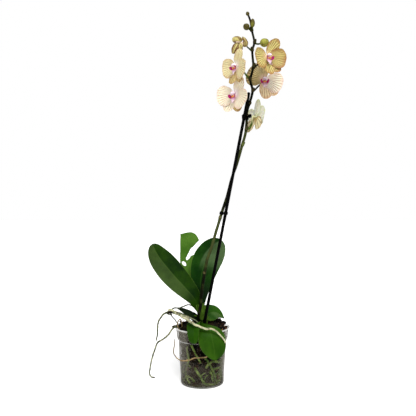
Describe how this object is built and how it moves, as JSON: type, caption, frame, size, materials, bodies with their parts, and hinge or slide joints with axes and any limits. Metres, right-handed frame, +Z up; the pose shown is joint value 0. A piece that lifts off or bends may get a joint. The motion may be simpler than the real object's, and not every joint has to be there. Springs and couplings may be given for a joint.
{
  "type": "potted orchid",
  "caption": "Moth orchid in a clear nursery pot: strap leaves, aerial roots and an arching flower spike clipped to a thin stake, with open flowers and buds.",
  "frame": {"origin": "centre of the pot's underside", "axes": "+Z up; -Y towards the viewer who sees the front of the flowers; +X to that viewer's right, the side that the flower spike leans to"},
  "size_m": [0.2939, 0.1483, 0.7902],
  "materials": {
    "pot_plastic": "thin clear plastic, slightly cloudy, with wet streaks inside",
    "bark": "coarse, wet, dark bark chips",
    "stake_plastic": "matt black",
    "clip_plastic": "matt black, moulded",
    "leaf": "waxy dark green with a pale sheen",
    "leaf_young": "waxy light green",
    "root_cream": "dull and spongy, cream to grey",
    "root_brown": "dry, dull brown",
    "root_green": "wet, dull grey-green",
    "spike": "smooth dark green, nearly black",
    "tepal": "soft cream-yellow with fine brown veins and salmon edges",
    "lip": "waxy magenta with an orange crest",
    "bud": "smooth yellow-green, brown at the tips"
  },
  "bodies": {
    "root": {"pot": "pot_plastic", "growing_medium": "bark", "stake": "stake_plastic", "crown": "leaf_young", "leaf_left": "leaf", "leaf_upper_right": "leaf", "leaf_front": "leaf", "leaf_front_small": "leaf", "leaf_right": "leaf", "leaf_left_narrow": "leaf", "leaf_torn": "leaf_young", "aerial_root_branched": "root_cream", "aerial_root_floor": "root_cream", "aerial_root_loop": "root_brown", "aerial_root_stub": "root_brown", "pot_root_1": "root_green", "pot_root_2": "root_green", "pot_root_3": "root_green", "pot_root_4": "root_green", "pot_root_5": "root_green", "pot_root_6": "root_green", "flower_spike": "spike", "clip_lower": "clip_plastic", "clip_upper": "clip_plastic", "flower_lower_left_dorsal_sepal": "tepal", "flower_lower_left_left_sepal": "tepal", "flower_lower_left_right_sepal": "tepal", "flower_lower_left_left_petal": "tepal", "flower_lower_left_right_petal": "tepal", "flower_lower_left_lip": "lip", "flower_mid_left_dorsal_sepal": "tepal", "flower_mid_left_left_sepal": "tepal", "flower_mid_left_right_sepal": "tepal", "flower_mid_left_left_petal": "tepal", "flower_mid_left_right_petal": "tepal", "flower_mid_left_lip": "lip", "flower_upper_right_dorsal_sepal": "tepal", "flower_upper_right_left_sepal": "tepal", "flower_upper_right_right_sepal": "tepal", "flower_upper_right_left_petal": "tepal", "flower_upper_right_right_petal": "tepal", "flower_upper_right_lip": "lip", "flower_mid_right_dorsal_sepal": "tepal", "flower_mid_right_left_sepal": "tepal", "flower_mid_right_right_sepal": "tepal", "flower_mid_right_left_petal": "tepal", "flower_mid_right_right_petal": "tepal", "flower_mid_right_lip": "lip", "flower_low_right_dorsal_sepal": "tepal", "flower_low_right_left_sepal": "tepal", "flower_low_right_right_sepal": "tepal", "flower_low_right_left_petal": "tepal", "flower_low_right_right_petal": "tepal", "flower_low_right_lip": "lip", "flower_opening": "bud", "bud_left": "bud", "bud_upper": "bud", "bud_right": "bud", "bud_tip": "bud"}
  },
  "joints": []
}
